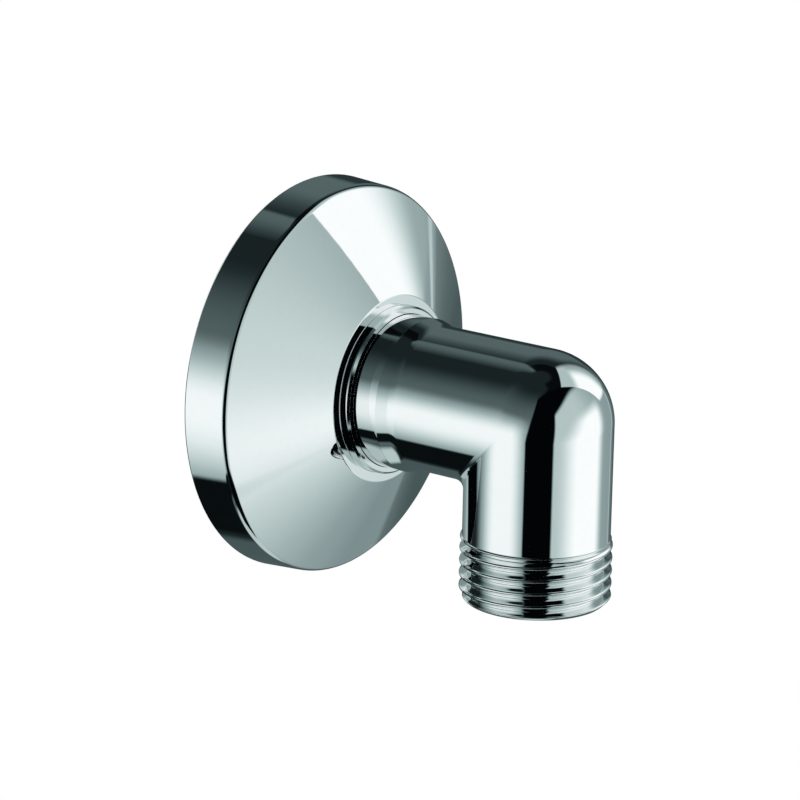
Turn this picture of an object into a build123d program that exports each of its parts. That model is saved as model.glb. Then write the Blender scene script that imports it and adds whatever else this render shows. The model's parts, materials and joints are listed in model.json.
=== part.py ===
"""Wall outlet elbow for a shower hose: chromed elbow body, sliding wall rosette and its friction ring.

Millimetres. The wall is the plane Y = 0, the elbow stands out towards -Y and its outlet leg hangs towards -Z.
The origin is on the inlet axis at the wall.
"""

import os
from math import atan2, cos, tan

from build123d import *

# Pipe thread of the inlet tail and the hose outlet (G 1/2, drawn as a plain cylinder of its major diameter)
thread_d = 20.955
lead_chamfer = 0.7
inlet_thread_length = 15.0
outlet_thread_length = 9.0

# Elbow body
body_d = 20.3
bore_d = 14.0
mouth_chamfer = 0.6
tail_length = 11.0
relief_depth = 1.3
relief_width = 2.5
neck_step = 0.32
neck_show = 3.75
flare_length = 2.1
flare_round = 4.0
tube_length = 17.7
leg_length = 16.0
throat_radius = 1.8

# Wall rosette
rosette_d = 56.0
rim_height = 6.6
rim_draft = 0.45
rim_round = 1.1
cone_rise = 7.65
face_width = 1.4
face_chamfer = 0.3
step_height = 1.5
step_wall = 0.95
step_chamfer = 0.3
shell_wall = 1.5
hub_length = 8.0
hub_clearance = 0.08

# Friction ring in the rosette's hub
ring_section = 1.8
ring_clearance = 0.03
groove_play = 0.4
groove_lip = 2.0
groove_floor = 1.3

# Places and radii that follow from the sizes above
thread_r = thread_d / 2
body_r = body_d / 2
bore_r = bore_d / 2
neck_r = thread_r + neck_step
relief_r = thread_r - relief_depth

face_height = rim_height + cone_rise
hub_front = face_height + step_height
hub_back = hub_front - hub_length
neck_front = hub_front + neck_show
tube_start = neck_front + flare_length
reach = tube_start + tube_length
drop = leg_length + outlet_thread_length
corner = Vector(0, -reach, 0)

hub_bore_r = neck_r + hub_clearance
step_r = hub_bore_r + step_wall
face_r = step_r + face_width
rim_back_r = rosette_d / 2
rim_front_r = rim_back_r - rim_draft

ring_r = neck_r + ring_clearance + ring_section / 2
groove_r = ring_r + ring_section / 2 + ring_clearance
groove_back = hub_back + groove_lip
groove_front = groove_back + ring_section + groove_play
sleeve_r = groove_r + groove_floor

near = 0.001


def ring_edges(builder: BuildPart, radius: float, centre: Vector) -> ShapeList:
    """Circular edges of one radius about one centre."""
    circles = builder.edges().filter_by(GeomType.CIRCLE)
    same_size = circles.filter_by(lambda edge: abs(edge.radius - radius) < near)
    return same_size.filter_by(lambda edge: (edge.arc_center - centre).length < near)


def corner_at(builder: BuildSketch, radius: float, height: float) -> ShapeList:
    """Corner of a turned profile at a radius and a distance from the wall."""
    return builder.vertices().sort_by_distance((radius, -height))[:1]


# Elbow body: turned run from the inlet tail to the corner, ball corner, outlet leg, then the waterway
thread_back = tail_length - inlet_thread_length
neck_back = thread_back - relief_width
outlet_shoulder = abs(thread_r - body_r)

with BuildPart() as elbow_body:
    with BuildSketch(Plane.XY) as run_profile:
        with BuildLine():
            Polyline(
                (0, -reach),
                (0, tail_length),
                (thread_r - lead_chamfer, tail_length),
                (thread_r, tail_length - lead_chamfer),
                (thread_r, thread_back),
                (relief_r, thread_back),
                (relief_r, neck_back),
                (neck_r, neck_back),
                (neck_r, -neck_front),
                (body_r, -tube_start),
                (body_r, -reach),
                close=True,
            )
        make_face()
        fillet(corner_at(run_profile, body_r, tube_start), flare_round)
    revolve(axis=Axis.Y)
    with Locations(corner):
        Sphere(body_r)
    with BuildSketch(Plane.XZ.offset(reach)):
        with BuildLine():
            Polyline(
                (0, 0),
                (body_r, 0),
                (body_r, -leg_length),
                (thread_r, -leg_length - outlet_shoulder),
                (thread_r, lead_chamfer - drop),
                (thread_r - lead_chamfer, -drop),
                (0, -drop),
                close=True,
            )
        make_face()
    revolve(axis=Axis(corner, (0, 0, 1)))
    fillet(elbow_body.edges().filter_by(GeomType.ELLIPSE), throat_radius)
    with Locations(corner):
        Sphere(bore_r, mode=Mode.SUBTRACT)
    with BuildSketch(Plane.XZ.offset(-tail_length)):
        Circle(bore_r)
    extrude(amount=tail_length + reach, mode=Mode.SUBTRACT)
    with BuildSketch(Plane.XY.offset(-drop)):
        with Locations((corner.X, corner.Y)):
            Circle(bore_r)
    extrude(amount=drop, mode=Mode.SUBTRACT)
    inlet_mouth = ring_edges(elbow_body, bore_r, Vector(0, tail_length, 0))
    outlet_mouth = ring_edges(elbow_body, bore_r, corner - Vector(0, 0, drop))
    chamfer(inlet_mouth + outlet_mouth, mouth_chamfer)

# Rosette: one turned shell, hollow towards the wall, with a sleeve that runs on the neck
cone_angle = atan2(cone_rise, rim_front_r - face_r)
cone_wall = shell_wall / cos(cone_angle)
rim_inner_r = rim_front_r - shell_wall


def cone_inside(radius: float) -> float:
    """Distance from the wall to the cone's inner face at a radius."""
    return rim_height + (rim_front_r - radius) * tan(cone_angle) - cone_wall


with BuildPart() as rosette:
    with BuildSketch(Plane.XY) as shell_profile:
        with BuildLine():
            Polyline(
                (rim_inner_r, 0),
                (rim_back_r, 0),
                (rim_front_r, -rim_height),
                (face_r, -face_height),
                (step_r, -face_height),
                (step_r, -hub_front),
                (hub_bore_r, -hub_front),
                (hub_bore_r, -groove_front),
                (groove_r, -groove_front),
                (groove_r, -groove_back),
                (hub_bore_r, -groove_back),
                (hub_bore_r, -hub_back),
                (sleeve_r, -hub_back),
                (sleeve_r, -cone_inside(sleeve_r)),
                (rim_inner_r, -cone_inside(rim_inner_r)),
                close=True,
            )
        make_face()
        fillet(corner_at(shell_profile, rim_front_r, rim_height), rim_round)
        chamfer(corner_at(shell_profile, face_r, face_height), face_chamfer)
        chamfer(corner_at(shell_profile, step_r, hub_front), step_chamfer)
    revolve(axis=Axis.Y)

# Friction ring: square-cut rubber ring between the groove floor and the neck
with BuildPart() as friction_ring:
    with BuildSketch(Plane.XY):
        with Locations((ring_r, -(groove_back + groove_front) / 2)):
            Rectangle(ring_section, ring_section)
    revolve(axis=Axis.Y)

os.makedirs("parts", exist_ok=True)
elbow_body.part.label = "elbow_body"
export_step(elbow_body.part, "parts/elbow_body.step")
rosette.part.label = "rosette"
export_step(rosette.part, "parts/rosette.step")
friction_ring.part.label = "friction_ring"
export_step(friction_ring.part, "parts/friction_ring.step")
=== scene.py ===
"""Chromed wall outlet elbow with its sliding rosette: fine meshes, finishes, studio and camera.

Sizes are millimetres until a mesh is written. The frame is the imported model's own: the wall is the
plane Y = 0, the elbow stands out towards -Y, its outlet leg hangs towards -Z, and the origin is on
the inlet axis at the wall.
"""

import json
import logging
import math
from dataclasses import dataclass, field
from enum import Enum

import bpy
import numpy as np
from mathutils import Matrix, Vector


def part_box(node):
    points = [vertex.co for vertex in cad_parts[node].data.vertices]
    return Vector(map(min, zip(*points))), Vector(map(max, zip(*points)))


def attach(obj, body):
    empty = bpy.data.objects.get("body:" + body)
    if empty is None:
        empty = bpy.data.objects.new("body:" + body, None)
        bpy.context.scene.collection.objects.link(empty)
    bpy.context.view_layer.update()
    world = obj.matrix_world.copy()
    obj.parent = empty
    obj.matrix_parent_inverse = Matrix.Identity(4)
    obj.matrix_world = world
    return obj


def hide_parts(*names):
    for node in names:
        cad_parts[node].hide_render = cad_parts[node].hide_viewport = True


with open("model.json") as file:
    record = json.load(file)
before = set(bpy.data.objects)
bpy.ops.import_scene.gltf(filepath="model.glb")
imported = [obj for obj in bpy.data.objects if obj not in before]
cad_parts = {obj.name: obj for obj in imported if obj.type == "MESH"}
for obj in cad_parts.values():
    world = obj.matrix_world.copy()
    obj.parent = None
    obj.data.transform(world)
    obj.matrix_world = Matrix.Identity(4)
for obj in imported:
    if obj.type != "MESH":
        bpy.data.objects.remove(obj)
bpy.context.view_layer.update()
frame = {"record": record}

MM = 0.001
ARC_STEPS = 8
COLUMNS = 240
ARCH_SPAN = 45.0
log = logging.getLogger("wall_outlet_elbow")


class Body(Enum):
    """Bodies of the joint that pieces ride on."""

    ELBOW = "elbow"
    ROSETTE = "rosette"


class Slot(Enum):
    """Material slots of the record."""

    CHROME = "chrome"
    RUBBER = "rubber"


def linear(hex_colour: str) -> tuple[float, float, float, float]:
    """Turn an sRGB hex colour into linear light.

    Args:
        hex_colour: A hash sign and six hex digits.

    Returns:
        Red, green, blue and alpha from 0 to 1.
    """
    srgb = np.array([int(hex_colour[start:start + 2], 16) for start in (1, 3, 5)]) / 255
    rgb = np.where(srgb <= 0.04045, srgb / 12.92, ((srgb + 0.055) / 1.055) ** 2.4)
    return (*rgb.tolist(), 1.0)


def add_node(
    tree: bpy.types.NodeTree, kind: str, settings: dict | None = None, inputs: dict | None = None
) -> bpy.types.Node:
    """Add a node with its settings and links.

    Args:
        tree: Node tree that gets the node.
        kind: Blender's name for the node type.
        settings: Node properties by name.
        inputs: Values or output sockets, by input name or number; a socket is linked.

    Returns:
        The new node.
    """
    node = tree.nodes.new(kind)
    for name, value in (settings or {}).items():
        setattr(node, name, value)
    for key, value in (inputs or {}).items():
        if isinstance(value, bpy.types.NodeSocket):
            tree.links.new(value, node.inputs[key])
        else:
            node.inputs[key].default_value = value
    return node


def unit(vectors: np.ndarray) -> np.ndarray:
    """Scale vectors along the last axis to length one."""
    return vectors / np.linalg.norm(vectors, axis=-1, keepdims=True)


def rounded_outline(corners: np.ndarray, closed: bool = False) -> np.ndarray:
    """Round the corners of an outline.

    Two sides leave a corner along u and v. The rounding's centre is on their bisector, its radius over
    the cosine of half the turn away from the corner, and its points turn evenly from the first side to
    the second.

    Args:
        corners: One row for each corner: distance from the axis, place along it, rounding radius.
        closed: Whether the last corner joins up with the first. An open outline keeps its two end points.

    Returns:
        Points of the outline, one row each: distance from the axis and place along it.
    """
    ring = np.vstack([corners[-1:], corners, corners[:1]]) if closed else corners
    at, radius = ring[1:-1, :2], ring[1:-1, 2:]
    u, v = unit(ring[:-2, :2] - at), unit(ring[2:, :2] - at)
    turn = np.pi - np.arccos((u * v).sum(1, keepdims=True))
    set_back = radius * np.tan(turn / 2)
    centre = at + unit(u + v) * radius / np.cos(turn / 2)
    first, last = at + u * set_back - centre, at + v * set_back - centre
    share = np.linspace(0, 1, ARC_STEPS + 1)[None, :, None]
    swing = turn[:, :, None]
    arc = np.sin((1 - share) * swing) * first[:, None] + np.sin(share * swing) * last[:, None]
    points = (centre[:, None] + arc / np.sin(swing)).reshape(-1, 2)
    return points if closed else np.vstack([corners[:1, :2], points, corners[-1:, :2]])


def column_angles(columns: int) -> np.ndarray:
    """Angles about an axis, half a step off the quarter turns, as one row."""
    return ((np.arange(columns) + 0.5) * 2 * np.pi / columns)[None, :]


def about_inlet(radius: np.ndarray, along: np.ndarray, angle: np.ndarray) -> np.ndarray:
    """Points about the inlet axis Y.

    A point is (radius sin angle, along, -radius cos angle), so angle 0 is straight down.

    Args:
        radius: Distances from the axis.
        along: Places along Y.
        angle: Angles about the axis.

    Returns:
        Points on the grid that the three arguments span together.
    """
    return np.stack(np.broadcast_arrays(radius * np.sin(angle), along, -radius * np.cos(angle)), -1)


def closed_surface(
    name: str, grid: np.ndarray, finishes: list[bpy.types.Material], finish_of_row: np.ndarray
) -> bpy.types.Object:
    """Make one closed mesh from a grid that joins up along its rows and its columns.

    Every cell is a quad. A vertex's normal is the cross product of the chord between its two neighbours
    along the columns and the chord between its two neighbours along the rows.

    Args:
        name: Name of the object and its mesh.
        grid: Points in millimetres, rows by columns by three.
        finishes: Materials of the mesh.
        finish_of_row: Number of the material for each row of cells.

    Returns:
        The new object, at the origin.
    """
    rows, columns = grid.shape[:2]
    index = np.arange(rows * columns).reshape(rows, columns)
    below, right = np.roll(index, -1, 0), np.roll(index, -1, 1)
    quads = np.stack([index, right, np.roll(below, -1, 1), below], -1).reshape(-1, 4)
    along_rows = np.roll(grid, -1, 0) - np.roll(grid, 1, 0)
    along_columns = np.roll(grid, -1, 1) - np.roll(grid, 1, 1)
    normals = unit(np.cross(along_columns, along_rows)).reshape(-1, 3)

    mesh = bpy.data.meshes.new(name)
    mesh.vertices.add(rows * columns)
    mesh.vertices.foreach_set("co", (grid * MM).ravel())
    mesh.loops.add(quads.size)
    mesh.loops.foreach_set("vertex_index", quads.ravel())
    mesh.polygons.add(len(quads))
    mesh.polygons.foreach_set("loop_start", np.arange(len(quads)) * 4)
    mesh.polygons.foreach_set("material_index", np.repeat(finish_of_row, columns))
    mesh.polygons.foreach_set("use_smooth", np.ones(len(quads), bool))
    mesh.update(calc_edges=True)
    mesh.normals_split_custom_set_from_vertices(normals.tolist())
    for finish in finishes:
        mesh.materials.append(finish)
    piece = bpy.data.objects.new(name, mesh)
    bpy.context.collection.objects.link(piece)
    return piece


@dataclass(frozen=True)
class MetalFinish:
    """A metal surface: its colour, its polish and the fine waves that its making left."""

    name: str
    colour: str
    shade: str
    roughness: tuple[float, float]
    wave_mm: float
    wave_height_mm: float
    stroke_mm: float
    wave_detail: float = 2.0
    wave_fineness: float = 0.55
    stroke_stretch: tuple[float, float, float] = (1.0, 0.25, 0.6)
    stroke_detail: float = 4.0
    stroke_fineness: float = 0.6
    stroke_range: tuple[float, float] = (0.3, 0.7)

    def material(self) -> bpy.types.Material:
        """Make the material.

        Long shallow waves come from a noise of the wave's size, which bends reflections a little. Polishing
        strokes, drawn out along the inlet axis, vary the gloss and the colour between their two ends. The
        strokes are drawn coarser than the real ones, so that they show.

        Returns:
            The new material.
        """
        material = bpy.data.materials.new(self.name)
        material.use_nodes = True
        tree = material.node_tree
        shader = tree.nodes["Principled BSDF"]
        place = add_node(tree, "ShaderNodeTexCoord").outputs["Object"]
        waves = add_node(tree, "ShaderNodeTexNoise", inputs={
            "Vector": place, "Scale": 1 / (self.wave_mm * MM),
            "Detail": self.wave_detail, "Roughness": self.wave_fineness,
        })
        drawn = add_node(tree, "ShaderNodeMapping", inputs={"Vector": place, "Scale": self.stroke_stretch})
        strokes = add_node(tree, "ShaderNodeTexNoise", inputs={
            "Vector": drawn.outputs[0], "Scale": 1 / (self.stroke_mm * MM),
            "Detail": self.stroke_detail, "Roughness": self.stroke_fineness,
        })
        gloss = add_node(tree, "ShaderNodeMapRange", inputs={
            "Value": strokes.outputs["Fac"],
            "From Min": self.stroke_range[0], "From Max": self.stroke_range[1],
            "To Min": self.roughness[0], "To Max": self.roughness[1],
        })
        tone = add_node(tree, "ShaderNodeMix", {"data_type": "RGBA"}, {
            0: strokes.outputs["Fac"], 6: linear(self.colour), 7: linear(self.shade),
        })
        bump = add_node(tree, "ShaderNodeBump", inputs={
            "Strength": 1.0, "Distance": self.wave_height_mm * MM, "Height": waves.outputs["Fac"],
        })
        shader.inputs["Metallic"].default_value = 1.0
        tree.links.new(tone.outputs[2], shader.inputs["Base Color"])
        tree.links.new(gloss.outputs[0], shader.inputs["Roughness"])
        tree.links.new(bump.outputs[0], shader.inputs["Normal"])
        return material


# Bright chrome over polished brass: a cool mirror whose edges waver by a hair
BRIGHT_CHROME = MetalFinish("bright_chrome_plate", "#E7EAEA", "#E1E5E5", (0.012, 0.03), 1.6, 0.0012, 0.5)
# The same plating over a surface that was turned and never polished, as inside a rosette
SATIN_CHROME = MetalFinish("satin_chrome_back", "#DADFE0", "#C6CCCE", (0.2, 0.34), 0.8, 0.004, 0.35)
# Bare cast brass in the waterway: warm, dull and a little grainy
CAST_BRASS = MetalFinish("cast_brass_waterway", "#C9A865", "#A98649", (0.32, 0.5), 0.7, 0.012, 0.4)


@dataclass(frozen=True)
class RubberFinish:
    """Moulded black rubber: matt, with a faint bloom and a fine grain."""

    name: str = "moulded_black_rubber"
    colour: str = "#17181A"
    bloom: str = "#2B2D2F"
    roughness: float = 0.62
    grain_mm: float = 0.35
    grain_height_mm: float = 0.01
    grain_detail: float = 3.0

    def material(self) -> bpy.types.Material:
        """Make the material.

        A noise of the grain's size lifts the surface and lightens it where bloom gathers.

        Returns:
            The new material.
        """
        material = bpy.data.materials.new(self.name)
        material.use_nodes = True
        tree = material.node_tree
        shader = tree.nodes["Principled BSDF"]
        place = add_node(tree, "ShaderNodeTexCoord").outputs["Object"]
        grain = add_node(tree, "ShaderNodeTexNoise", inputs={
            "Vector": place, "Scale": 1 / (self.grain_mm * MM), "Detail": self.grain_detail,
        })
        tone = add_node(tree, "ShaderNodeMix", {"data_type": "RGBA"}, {
            0: grain.outputs["Fac"], 6: linear(self.colour), 7: linear(self.bloom),
        })
        bump = add_node(tree, "ShaderNodeBump", inputs={
            "Distance": self.grain_height_mm * MM, "Height": grain.outputs["Fac"],
        })
        shader.inputs["Roughness"].default_value = self.roughness
        tree.links.new(tone.outputs[2], shader.inputs["Base Color"])
        tree.links.new(bump.outputs[0], shader.inputs["Normal"])
        return material


@dataclass(frozen=True)
class PipeThread:
    """Right-hand parallel pipe thread with rounded crests and roots."""

    pitch: float = 1.814
    half_flank: float = math.radians(27.5)
    rounding: float = 0.249

    def drop(self, turns: np.ndarray) -> np.ndarray:
        """Depth below the crest.

        With d the distance to the nearest crest along the axis, the crest's arc, the straight flank and the
        root's arc are three terms that each grow over their own stretch of d and are added up.

        Args:
            turns: Place along the thread, counted in turns, with a crest at each whole number.

        Returns:
            Depth in millimetres.
        """
        distance = np.abs(turns - np.round(turns)) * self.pitch
        half_pitch = self.pitch / 2
        width = self.rounding * math.cos(self.half_flank)
        full = self.rounding - math.sqrt(self.rounding**2 - width**2)
        crest = self.rounding - np.sqrt(self.rounding**2 - np.clip(distance, 0, width) ** 2)
        flank = np.clip(distance - width, 0, half_pitch - 2 * width) / math.tan(self.half_flank)
        to_root = np.clip(half_pitch - distance, 0, width)
        root = full - self.rounding + np.sqrt(self.rounding**2 - to_root**2)
        return crest + flank + root


@dataclass
class ElbowBody:
    """The elbow: inlet tail, neck, tube, ball corner, threaded outlet leg and the waterway through them."""

    body_r: float = 10.15
    bore_r: float = 7.0
    throat: float = 1.8
    bore_throat: float = 0.5
    leg_length: float = 16.0
    inlet_thread_length: float = 15.0
    lead_chamfer: float = 0.7
    mouth_chamfer: float = 0.6
    relief_depth: float = 1.3
    relief_width: float = 2.5
    neck_show: float = 3.75
    flare_length: float = 2.1
    flare_round: float = 4.0
    edge: float = 0.12
    thread: PipeThread = field(default_factory=PipeThread)
    inlet_rows_per_turn: int = 11
    outlet_rows_per_turn: int = 20
    corner_rows: int = 44
    bore_corner_rows: int = 24

    def __post_init__(self) -> None:
        """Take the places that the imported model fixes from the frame."""
        low, high = (np.array(corner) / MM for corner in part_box("elbow_body"))
        mounts = {mount["name"]: mount for mount in frame["record"]["mounts"]}
        self.thread_r = mounts["outlet_thread"]["dims"]["r_mm"]
        self.tail_end = high[1]
        self.neck_r = high[2]
        self.outlet_end = low[2]
        self.corner_y = low[1] + self.thread_r
        self.hub_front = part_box("rosette")[0].y / MM
        self.angle = column_angles(COLUMNS)

    def about_outlet(self, radius: np.ndarray, height: np.ndarray) -> np.ndarray:
        """Points about the outlet axis, for every column.

        A point is (radius sin angle, corner + radius cos angle, height).

        Args:
            radius: Distances from the axis.
            height: Places along Z.

        Returns:
            Points on the grid that radius, height and the column angles span.
        """
        x, y = radius * np.sin(self.angle), self.corner_y + radius * np.cos(self.angle)
        return np.stack(np.broadcast_arrays(x, y, height), -1)

    def corner_band(self, radius: float, throat: float, rows: int) -> np.ndarray:
        """Corner between two crossing round runs of one radius.

        On the outer side, where the angle's cosine is negative, the surface is a ball: the point on the ball
        turns a quarter round X from the run along Y to the run along Z. On the inner side a ball of the
        throat's radius rolls along the crease. Its centre is (R sin angle, R cos angle, -R cos angle) from
        the corner with R = radius + throat, and the surface is the short arc on it between its two touching
        points.

        Args:
            radius: Radius of both runs.
            throat: Radius of the rolled throat.
            rows: Rows of the band.

        Returns:
            Points from the end of the run along Y to the start of the run along Z.
        """
        sine, cosine = np.sin(self.angle), np.cos(self.angle)
        share = np.linspace(0, 1, rows)[:, None]
        turn = share * np.pi / 2
        ball = np.stack(np.broadcast_arrays(
            radius * sine, radius * cosine * np.sin(turn), -radius * cosine * np.cos(turn)), -1)
        swing = np.arccos(sine**2)
        start, end = np.sin((1 - share) * swing) / np.sin(swing), np.sin(share * swing) / np.sin(swing)
        reach = radius + throat
        rolled = np.stack(np.broadcast_arrays(
            reach * sine - throat * sine * (start + end),
            reach * cosine - throat * cosine * end,
            -reach * cosine + throat * cosine * start), -1)
        return np.where(cosine[:, :, None] > 0, rolled, ball) + (0, self.corner_y, 0)

    def threaded(self, along: np.ndarray, envelope: np.ndarray, fade: np.ndarray) -> np.ndarray:
        """Radius of a threaded run.

        It is the envelope, or the crest radius less the thread's depth, whichever is less.

        Args:
            along: Places along the axis, one for each row.
            envelope: Radius of the turned blank at each row.
            fade: Share of the thread's depth that is cut at each row.

        Returns:
            Radius for every row and column.
        """
        turns = along[:, None] / self.thread.pitch + self.angle / (2 * np.pi)
        cut = self.thread_r - self.thread.drop(turns) * fade[:, None]
        return np.minimum(cut, envelope[:, None])

    def inlet_band(self) -> np.ndarray:
        """Rows from the inlet mouth over the tail's thread, the relief, the neck and its flare to the tube.

        Returns:
            Points, rows by columns by three.
        """
        edge, end = self.edge, self.tail_end
        mouth = rounded_outline(np.array([
            (self.bore_r, end - 2 * self.mouth_chamfer, 0),
            (self.bore_r, end - self.mouth_chamfer, edge),
            (self.bore_r + self.mouth_chamfer, end, edge),
            (self.bore_r + 2 * self.mouth_chamfer, end, 0),
        ]))
        thread_back = end - self.inlet_thread_length
        rows = round(self.inlet_thread_length / self.thread.pitch * self.inlet_rows_per_turn)
        along = np.linspace(end, thread_back, rows)
        envelope = self.thread_r - np.clip(along - end + self.lead_chamfer, 0, None)
        thread = self.threaded(along, envelope, np.ones(rows))
        relief_r = self.thread_r - self.relief_depth
        neck_back = thread_back - self.relief_width
        neck_front = self.hub_front - self.neck_show
        tube_start = neck_front - self.flare_length
        neck = rounded_outline(np.array([
            (relief_r + 2 * edge, thread_back, 0),
            (relief_r, thread_back, edge),
            (relief_r, neck_back, edge),
            (self.neck_r, neck_back, edge),
            (self.neck_r, neck_front, edge),
            (self.body_r, tube_start, self.flare_round),
            (self.body_r, tube_start - self.flare_length, 0),
        ]))
        return np.concatenate([
            about_inlet(mouth[:, :1], mouth[:, 1:], self.angle),
            about_inlet(thread[:1] - edge, along[:1, None], self.angle),
            about_inlet(thread, along[:, None], self.angle),
            about_inlet(neck[:, :1], neck[:, 1:], self.angle),
        ])

    def outlet_band(self) -> np.ndarray:
        """Rows down the leg's end, over its shoulder and hose thread, and across the end face to the mouth.

        Returns:
            Points, rows by columns by three.
        """
        top = -self.leg_length
        end = self.outlet_end
        rows = round((top - end) / self.thread.pitch * self.outlet_rows_per_turn)
        along = np.linspace(top, end, rows)
        shoulder = self.thread_r - self.body_r
        rise = np.clip(self.body_r + top - along, self.body_r, self.thread_r)
        envelope = np.minimum(rise, self.thread_r - np.clip(end + self.lead_chamfer - along, 0, None))
        fade = np.clip((top - along) / (self.thread.pitch / 2 + shoulder), 0, 1)
        thread = self.threaded(along, envelope, fade)
        edge = self.edge
        mouth = rounded_outline(np.array([
            (self.bore_r + 2 * self.mouth_chamfer, end, 0),
            (self.bore_r + self.mouth_chamfer, end, edge),
            (self.bore_r, end + self.mouth_chamfer, edge),
            (self.bore_r, end + 2 * self.mouth_chamfer, 0),
        ]))
        return np.concatenate([
            self.about_outlet(thread, along[:, None]),
            self.about_outlet(thread[-1:] - edge, along[-1:, None]),
            self.about_outlet(mouth[:, :1], mouth[:, 1:]),
        ])

    def build(self) -> list[bpy.types.Object]:
        """Build and dress the body: outside from inlet to outlet, then back through the waterway.

        Returns:
            The one piece of the body.
        """
        outside = [
            self.inlet_band(),
            self.corner_band(self.body_r, self.throat, self.corner_rows),
            self.outlet_band(),
        ]
        waterway = self.corner_band(self.bore_r, self.bore_throat, self.bore_corner_rows)[::-1]
        grid = np.concatenate([*outside, waterway])
        skin_rows = sum(len(band) for band in outside)
        in_bore = np.zeros(len(grid), int)
        in_bore[skin_rows - 1:] = 1
        finishes = [BRIGHT_CHROME.material(), CAST_BRASS.material()]
        piece = closed_surface("elbow_body_skin", grid, finishes, in_bore)
        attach(piece, Body.ELBOW.value)
        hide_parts("elbow_body")
        return [piece]


@dataclass
class WallRosette:
    """The sliding rosette: straight rim, cone, flat ring and stepped hub, hollow towards the wall."""

    rim_height: float = 6.6
    rim_draft: float = 0.45
    rim_round: float = 1.1
    rim_back_round: float = 0.35
    cone_rise: float = 7.65
    face_r: float = 13.2275
    face_round: float = 0.4
    step_r: float = 11.8275
    step_chamfer: float = 0.3
    hub_bore_r: float = 10.8775
    groove: tuple[float, float, float] = (12.6575, 9.75, 11.95)
    hub_back: float = 7.75
    sleeve_r: float = 13.9575
    shell_wall: float = 1.5
    edge: float = 0.1
    crisp_edge: float = 0.008
    step_root: float = 0.1
    inner_fillet: float = 0.3
    first_hidden_corner: int = 8
    columns: int = 360

    def outline(self) -> np.ndarray:
        """Corners of the turned outline, from the wall over the outside, through the hub and back inside.

        Returns:
            One row for each corner: distance from the axis, place along it, rounding.
        """
        low, high = (np.array(corner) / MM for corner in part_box("rosette"))
        rim_r, hub_front, edge = high[0], low[1], self.edge
        rim_front_r = rim_r - self.rim_draft
        face = -self.rim_height - self.cone_rise
        rim_inner_r = rim_front_r - self.shell_wall
        slope = self.cone_rise / (rim_front_r - self.face_r)
        wall = self.shell_wall * math.hypot(1, slope)
        groove_r, groove_back, groove_front = self.groove

        def inside(radius: float) -> float:
            """Place of the cone's inner face at a radius."""
            return -self.rim_height - (rim_front_r - radius) * slope + wall

        return np.array([
            (rim_inner_r, 0, edge),
            (rim_r, 0, self.rim_back_round),
            (rim_front_r, -self.rim_height, self.rim_round),
            (self.face_r, face, self.face_round),
            (self.step_r, face, self.step_root),
            (self.step_r, hub_front + self.step_chamfer, self.crisp_edge),
            (self.step_r - self.step_chamfer, hub_front, self.crisp_edge),
            (self.hub_bore_r, hub_front, self.crisp_edge),
            (self.hub_bore_r, -groove_front, edge),
            (groove_r, -groove_front, edge),
            (groove_r, -groove_back, edge),
            (self.hub_bore_r, -groove_back, edge),
            (self.hub_bore_r, -self.hub_back, edge),
            (self.sleeve_r, -self.hub_back, edge),
            (self.sleeve_r, inside(self.sleeve_r), self.inner_fillet),
            (rim_inner_r, inside(rim_inner_r), self.inner_fillet),
        ])

    def build(self) -> list[bpy.types.Object]:
        """Build and dress the rosette: the rounded outline turned about the inlet axis.

        Returns:
            The one piece of the rosette.
        """
        corners = self.outline()
        points = rounded_outline(corners, closed=True)
        grid = about_inlet(points[:, :1], points[:, 1:], column_angles(self.columns))
        corner_of_row = np.arange(len(points)) // (ARC_STEPS + 1)
        hidden = (corner_of_row >= self.first_hidden_corner).astype(int)
        finishes = [BRIGHT_CHROME.material(), SATIN_CHROME.material()]
        piece = closed_surface("rosette_shell", grid, finishes, hidden)
        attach(piece, Body.ROSETTE.value)
        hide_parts("rosette")
        return [piece]


@dataclass
class FrictionRing:
    """The square-cut rubber ring in the rosette's hub."""

    edge: float = 0.2

    def build(self) -> list[bpy.types.Object]:
        """Build and dress the ring: a rounded square turned about the inlet axis.

        Returns:
            The one piece of the ring.
        """
        low, high = (np.array(corner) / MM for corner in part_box("friction_ring"))
        outer, section = high[0], high[1] - low[1]
        inner = outer - section
        points = rounded_outline(np.array([
            (inner, high[1], self.edge),
            (outer, high[1], self.edge),
            (outer, low[1], self.edge),
            (inner, low[1], self.edge),
        ]), closed=True)
        grid = about_inlet(points[:, :1], points[:, 1:], column_angles(COLUMNS))
        one_finish = np.zeros(len(points), int)
        piece = closed_surface("friction_ring_rubber", grid, [RubberFinish().material()], one_finish)
        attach(piece, Body.ROSETTE.value)
        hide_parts("friction_ring")
        return [piece]


@dataclass(frozen=True)
class SoftSpan:
    """A stretch from low to high whose two ends come in softly, each over its own width."""

    low: float
    high: float
    low_width: float
    high_width: float

    def mask(
        self, tree: bpy.types.NodeTree, at_low: bpy.types.NodeSocket, at_high: bpy.types.NodeSocket
    ) -> bpy.types.NodeSocket:
        """Strength along the stretch.

        It is a smooth step up about the low end times a smooth step down about the high end.

        Args:
            tree: Node tree that gets the nodes.
            at_low: Place that is held against the low end.
            at_high: Place that is held against the high end.

        Returns:
            Socket of the strength, from 0 outside to 1 inside.
        """
        ends = ((at_low, self.low, self.low_width / 2), (at_high, self.high, -self.high_width / 2))
        up, down = (
            add_node(tree, "ShaderNodeMapRange", {"interpolation_type": "SMOOTHSTEP"}, {
                "Value": place, "From Min": edge - half, "From Max": edge + half})
            for place, edge, half in ends
        )
        both = add_node(tree, "ShaderNodeMath", {"operation": "MULTIPLY"}, {
            0: up.outputs[0], 1: down.outputs[0]})
        return both.outputs[0]


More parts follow.
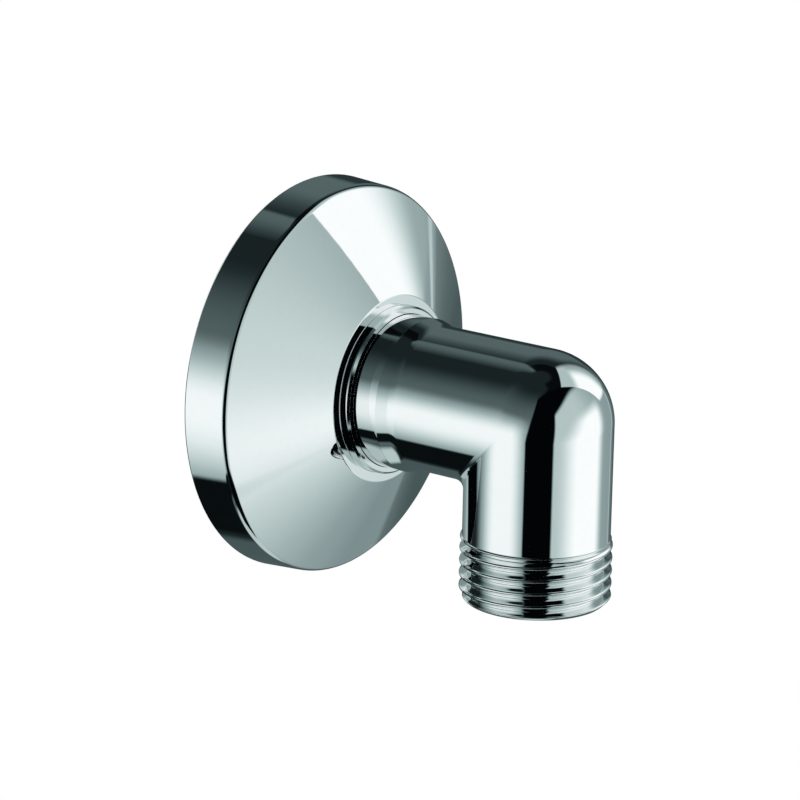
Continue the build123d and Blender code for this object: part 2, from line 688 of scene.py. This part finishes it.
@dataclass(frozen=True)
class SoftPanel:
    """A soft-edged field of light or dark far off in the studio, in degrees seen from the object.

    Azimuth 0 is straight out from the wall and 90 is towards +X.
    """

    name: str
    level: float
    azimuth: SoftSpan
    elevation: SoftSpan
    lean: float = 0.0
    arch: float = 0.0
    crown: float = 0.0

    def over(
        self,
        tree: bpy.types.NodeTree,
        azimuth: bpy.types.NodeSocket,
        elevation: bpy.types.NodeSocket,
        level: bpy.types.NodeSocket | float,
    ) -> bpy.types.NodeSocket:
        """Lay the panel over the level of light so far.

        The left edge leans over by lean degrees of azimuth for each degree of elevation. The top edge is
        highest at the crown and drops with the square of the distance from it, by arch degrees at ARCH_SPAN
        degrees.

        Args:
            tree: The world's node tree.
            azimuth: Socket of the azimuth in degrees.
            elevation: Socket of the elevation in degrees.
            level: Socket or number of the level so far.

        Returns:
            Socket of the new level.
        """
        leaned = add_node(tree, "ShaderNodeMath", {"operation": "MULTIPLY_ADD"}, {
            0: elevation, 1: self.lean, 2: azimuth})
        offset = add_node(tree, "ShaderNodeMath", {"operation": "SUBTRACT"}, {0: azimuth, 1: self.crown})
        square = add_node(tree, "ShaderNodeMath", {"operation": "MULTIPLY"}, {
            0: offset.outputs[0], 1: offset.outputs[0]})
        arched = add_node(tree, "ShaderNodeMath", {"operation": "MULTIPLY_ADD"}, {
            0: square.outputs[0], 1: self.arch / ARCH_SPAN**2, 2: elevation})
        across = self.azimuth.mask(tree, leaned.outputs[0], azimuth)
        upward = self.elevation.mask(tree, elevation, arched.outputs[0])
        mask = add_node(tree, "ShaderNodeMath", {"operation": "MULTIPLY"}, {0: across, 1: upward})
        return add_node(tree, "ShaderNodeMix", {"label": self.name}, {
            0: mask.outputs[0], 2: level, 3: self.level}).outputs[0]


@dataclass(frozen=True)
class Tint:
    """Colour of the studio's light by its level: neutral at both ends, a cool grey between."""

    stops: tuple[tuple[float, str], ...] = (
        (0.0, "#030405"), (0.03, "#263133"), (0.09, "#475556"), (0.25, "#839394"),
        (0.45, "#A5B5B5"), (0.65, "#C8D5D4"), (0.87, "#EDF2F2"), (1.0, "#FFFFFF"),
    )

    def colour(self, tree: bpy.types.NodeTree, level: bpy.types.NodeSocket) -> bpy.types.NodeSocket:
        """Turn a level into a colour.

        Args:
            tree: Node tree that gets the nodes.
            level: Socket of the level.

        Returns:
            Socket of the colour.
        """
        ramp = add_node(tree, "ShaderNodeValToRGB", inputs={0: level})
        elements = ramp.color_ramp.elements
        for _ in self.stops[2:]:
            elements.new(1.0)
        for element, (place, colour) in zip(elements, self.stops):
            element.position = place
            element.color = linear(colour)
        return ramp.outputs[0]


@dataclass(frozen=True)
class SoftCard:
    """A white card close above the object's right side, which only mirrored rays see. Millimetres.

    Depth runs back from its front edge, and height runs down that edge from its top. The sheet holds the
    least and the greatest depth of its mesh, and then the same of its height.
    """

    edge_top: tuple[float, float, float] = (15, -124, 152)
    edge_foot: tuple[float, float, float] = (125, -105, 27)
    backward: tuple[float, float, float] = (0.48, 0.7, 0.53)
    depth: SoftSpan = SoftSpan(0, 112, 1.5, 36)
    height: SoftSpan = SoftSpan(0, 160, 6, 14)
    top_slant: float = 0.3
    foot_slant: float = 0.9
    sheet: tuple[float, float, float, float] = (-10, 140, -20, 300)
    top_level: float = 0.5
    front_level: float = 1.0
    back_level: float = 0.36
    top_fade: tuple[float, float] = (57, 89)
    back_fade: tuple[float, float] = (40, 95)

    def build(self, tint: Tint, strength: float) -> bpy.types.Object:
        """Make the card.

        Its mask is the depth's and the height's soft spans, with top and foot slanting as the depth grows.
        Its level goes from the top level to the front level down the height, and there on to the back level
        along the depth, both by smooth steps.

        Args:
            tint: Colour of the light by its level.
            strength: Strength of the light at full level.

        Returns:
            The card.
        """
        depth_low, depth_high, height_low, height_high = (size * MM for size in self.sheet)
        mesh = bpy.data.meshes.new("soft_card")
        outline = [
            (depth_low, height_low, 0),
            (depth_high, height_low, 0),
            (depth_high, height_high, 0),
            (depth_low, height_high, 0),
        ]
        mesh.from_pydata(outline, [], [(0, 1, 2, 3)])
        material = bpy.data.materials.new("white_card_light")
        material.use_nodes = True
        material.cycles.emission_sampling = "NONE"
        tree = material.node_tree
        tree.nodes.remove(tree.nodes["Principled BSDF"])
        place = add_node(tree, "ShaderNodeTexCoord").outputs["Object"]
        in_mm = add_node(tree, "ShaderNodeVectorMath", {"operation": "SCALE"}, {0: place, "Scale": 1 / MM})
        part = add_node(tree, "ShaderNodeSeparateXYZ", inputs={0: in_mm.outputs[0]})
        depth, height = part.outputs[0], part.outputs[1]
        from_top, from_foot = (
            add_node(tree, "ShaderNodeMath", {"operation": "MULTIPLY_ADD"}, {0: depth, 1: -slant, 2: height})
            for slant in (self.top_slant, self.foot_slant)
        )
        along_depth = self.depth.mask(tree, depth, depth)
        along_height = self.height.mask(tree, from_top.outputs[0], from_foot.outputs[0])
        mask = add_node(tree, "ShaderNodeMath", {"operation": "MULTIPLY"}, {0: along_depth, 1: along_height})
        lower = add_node(tree, "ShaderNodeMapRange", {"interpolation_type": "SMOOTHSTEP"}, {
            "Value": depth, "From Min": self.back_fade[0], "From Max": self.back_fade[1],
            "To Min": self.front_level, "To Max": self.back_level})
        level = add_node(tree, "ShaderNodeMapRange", {"interpolation_type": "SMOOTHSTEP"}, {
            "Value": height, "From Min": self.top_fade[0], "From Max": self.top_fade[1],
            "To Min": self.top_level, "To Max": lower.outputs[0]})
        light = add_node(tree, "ShaderNodeEmission", inputs={
            "Color": tint.colour(tree, level.outputs[0]), "Strength": strength})
        clear = add_node(tree, "ShaderNodeBsdfTransparent")
        mixed = add_node(tree, "ShaderNodeMixShader", inputs={
            0: mask.outputs[0], 1: clear.outputs[0], 2: light.outputs[0]})
        tree.links.new(mixed.outputs[0], tree.nodes["Material Output"].inputs["Surface"])
        mesh.materials.append(material)

        card = bpy.data.objects.new("soft_card", mesh)
        top = Vector(self.edge_top)
        down = (Vector(self.edge_foot) - top).normalized()
        back = Vector(self.backward)
        back = (back - down * back.dot(down)).normalized()
        axes = Matrix((back, down, back.cross(down))).transposed()
        card.matrix_world = Matrix.Translation(top * MM) @ axes.to_4x4()
        card.visible_camera = False
        card.visible_diffuse = False
        card.visible_shadow = False
        bpy.context.collection.objects.link(card)
        return card


@dataclass(frozen=True)
class Studio:
    """Plain studio: pale floor, white surround, camera, and soft panels and a card that the chrome mirrors.

    Panels are laid on in order, later ones over earlier ones. The panels and the card began as a rounded
    fit to the photo's reflections and were then changed. The camera is a rounded fit to its outlines.
    """

    panels: tuple[SoftPanel, ...] = (
        SoftPanel("right_wall", 0.115, SoftSpan(100, 162, 16, 20), SoftSpan(-20, 45, 16, 22)),
        SoftPanel("rear_wall", 0.11, SoftSpan(151, 170, 4, 30), SoftSpan(49.5, 76, 2.5, 8)),
        SoftPanel("backdrop_shade", 0.03, SoftSpan(106, 146, 8, 8), SoftSpan(-13, 11, 4, 8)),
        SoftPanel("low_right_glow", 0.085, SoftSpan(64, 158, 8, 10), SoftSpan(-90, -12, 14, 16)),
        SoftPanel("right_wall_near", 0.18, SoftSpan(80, 99, 4, 18), SoftSpan(-48, 10, 8, 12)),
        SoftPanel("left_haze", 0.11, SoftSpan(-142, -8, 26, 40), SoftSpan(-2, 44, 8, 44)),
        SoftPanel("left_softbox", 0.94, SoftSpan(-145, -81, 42, 40), SoftSpan(-45, 8.5, 60, 34)),
        SoftPanel("table_edge", 0.003, SoftSpan(-200, -74, 1, 20), SoftSpan(-60, -45.5, 6, 3)),
        SoftPanel("table_edge_rear", 0.003, SoftSpan(166, 200, 8, 1), SoftSpan(-60, -45.5, 6, 3)),
        SoftPanel("camera_gap", 0.0, SoftSpan(-75, 75, 3, 17), SoftSpan(-75, -8, 20, 8)),
        SoftPanel(
            "camera_gap_top", 0.0, SoftSpan(-73.5, 75, 3, 17), SoftSpan(-24, 70, 8, 7), lean=-0.22, arch=9,
        ),
        SoftPanel("zenith_gap", 0.002, SoftSpan(-30, 150, 20, 20), SoftSpan(63, 78, 4, 6)),
        SoftPanel(
            "front_softbox", 0.54, SoftSpan(-32, 90, 4, 5), SoftSpan(-75, 48.5, 20, 8),
            lean=-0.07, arch=17, crown=22,
        ),
        SoftPanel(
            "front_shade", 0.28, SoftSpan(42, 90, 75, 5), SoftSpan(-75, 48.5, 20, 8), arch=17, crown=22,
        ),
        SoftPanel("front_foot", 0.23, SoftSpan(78, 97, 16, 3), SoftSpan(-62, -28, 8, 10)),
        SoftPanel("front_core", 1.06, SoftSpan(4, 53, 44, 22), SoftSpan(-34, 15, 44, 18), lean=-0.7),
        SoftPanel("edge_light", 0.55, SoftSpan(88, 89.8, 1, 1), SoftSpan(-20, 12, 6, 6)),
        SoftPanel("rear_light_right", 0.9, SoftSpan(166, 200, 12, 1), SoftSpan(-3, 38, 6, 10)),
        SoftPanel("rear_light_left", 0.9, SoftSpan(-200, -166, 1, 12), SoftSpan(-3, 38, 6, 10)),
        SoftPanel("low_gap", 0.0, SoftSpan(-73, 2, 3, 10), SoftSpan(-66, -37, 4, 6)),
        SoftPanel("table_top", 0.55, SoftSpan(-200, 200, 1, 1), SoftSpan(-100, -68, 1, 8)),
        SoftPanel("table_gap", 0.0, SoftSpan(-60, 6, 4, 16), SoftSpan(-75.5, -60, 2, 3)),
    )
    room: float = 0.015
    panel_strength: float = 1.22
    surround_strength: float = 1.0
    surround_colour: str = "#FFFFFF"
    tint: Tint = Tint()
    card: SoftCard = SoftCard()
    floor_colour: str = "#FFFFFF"
    floor_depth: float = 0.25
    floor_half: float = 3.0
    camera_azimuth: float = -53.6
    camera_elevation: float = 16.4
    camera_roll: float = 1.1
    camera_distance: float = 550
    aim_right: float = 12.6
    aim_down: float = 4.2
    image_px: float = 800.0
    focal_px: float = 3900.0

    def light(self) -> None:
        """Make the world: white to the camera and to matt surfaces, the panels to mirrored rays."""
        world = bpy.data.worlds.new("studio")
        world.use_nodes = True
        world.cycles.sampling_method = "NONE"
        bpy.context.scene.world = world
        tree = world.node_tree
        direction = add_node(tree, "ShaderNodeTexCoord").outputs["Generated"]
        part = add_node(tree, "ShaderNodeSeparateXYZ", inputs={0: direction})
        outward = add_node(tree, "ShaderNodeMath", {"operation": "MULTIPLY"}, {0: part.outputs[1], 1: -1.0})
        turn = add_node(tree, "ShaderNodeMath", {"operation": "ARCTAN2"}, {
            0: part.outputs[0], 1: outward.outputs[0]})
        rise = add_node(tree, "ShaderNodeMath", {"operation": "ARCSINE"}, {0: part.outputs[2]})
        azimuth, elevation = (
            add_node(tree, "ShaderNodeMath", {"operation": "DEGREES"}, {0: radians.outputs[0]}).outputs[0]
            for radians in (turn, rise)
        )
        level = self.room
        for panel in self.panels:
            level = panel.over(tree, azimuth, elevation, level)
        mirrored = add_node(tree, "ShaderNodeLightPath").outputs["Is Glossy Ray"]
        colour = add_node(tree, "ShaderNodeMix", {"data_type": "RGBA"}, {
            0: mirrored, 6: linear(self.surround_colour), 7: self.tint.colour(tree, level)})
        strength = add_node(tree, "ShaderNodeMapRange", inputs={
            "Value": mirrored, "To Min": self.surround_strength, "To Max": self.panel_strength})
        tree.links.new(colour.outputs[2], tree.nodes["Background"].inputs["Color"])
        tree.links.new(strength.outputs[0], tree.nodes["Background"].inputs["Strength"])
        self.card.build(self.tint, self.panel_strength)

    def floor(self) -> bpy.types.Object:
        """Make the pale floor under the object, a plain matt sheet that takes its soft shadow.

        Returns:
            The floor.
        """
        half, depth = self.floor_half, -self.floor_depth
        mesh = bpy.data.meshes.new("pale_floor")
        outline = [(-half, -half, depth), (half, -half, depth), (half, half, depth), (-half, half, depth)]
        mesh.from_pydata(outline, [], [(0, 1, 2, 3)])
        material = bpy.data.materials.new("pale_matt_floor")
        material.use_nodes = True
        tree = material.node_tree
        tree.nodes.remove(tree.nodes["Principled BSDF"])
        matt = add_node(tree, "ShaderNodeBsdfDiffuse", inputs={"Color": linear(self.floor_colour)})
        tree.links.new(matt.outputs[0], tree.nodes["Material Output"].inputs["Surface"])
        mesh.materials.append(material)
        floor = bpy.data.objects.new("pale_floor", mesh)
        floor.visible_glossy = False
        bpy.context.collection.objects.link(floor)
        return floor

    def camera(self) -> bpy.types.Object:
        """Make the camera, aimed from the given azimuth and elevation and rolled a little to the left.

        Returns:
            The camera.
        """
        azimuth, elevation = math.radians(self.camera_azimuth), math.radians(self.camera_elevation)
        roll = math.radians(self.camera_roll)
        back = Vector((math.sin(azimuth) * math.cos(elevation), -math.cos(azimuth) * math.cos(elevation),
                       math.sin(elevation)))
        level_right = Vector((math.cos(azimuth), math.sin(azimuth), 0))
        level_up = back.cross(level_right)
        right = level_right * math.cos(roll) + level_up * math.sin(roll)
        up = level_up * math.cos(roll) - level_right * math.sin(roll)
        centre = (right * self.aim_right - up * self.aim_down + back * self.camera_distance) * MM
        data = bpy.data.cameras.new("camera")
        data.lens = data.sensor_width * self.focal_px / self.image_px
        camera = bpy.data.objects.new("camera", data)
        camera.matrix_world = Matrix.Translation(centre) @ Matrix((right, up, back)).transposed().to_4x4()
        bpy.context.collection.objects.link(camera)
        bpy.context.scene.camera = camera
        return camera


def main() -> None:
    """Build the three pieces, the studio and the camera."""
    logging.basicConfig(level=logging.INFO)
    for assembly in (ElbowBody(), WallRosette(), FrictionRing()):
        for piece in assembly.build():
            log.info("%s: %d faces", piece.name, len(piece.data.polygons))
    studio = Studio()
    studio.light()
    studio.floor()
    studio.camera()
    bpy.context.scene.view_settings.view_transform = "Standard"


if __name__ == "__main__":
    main()
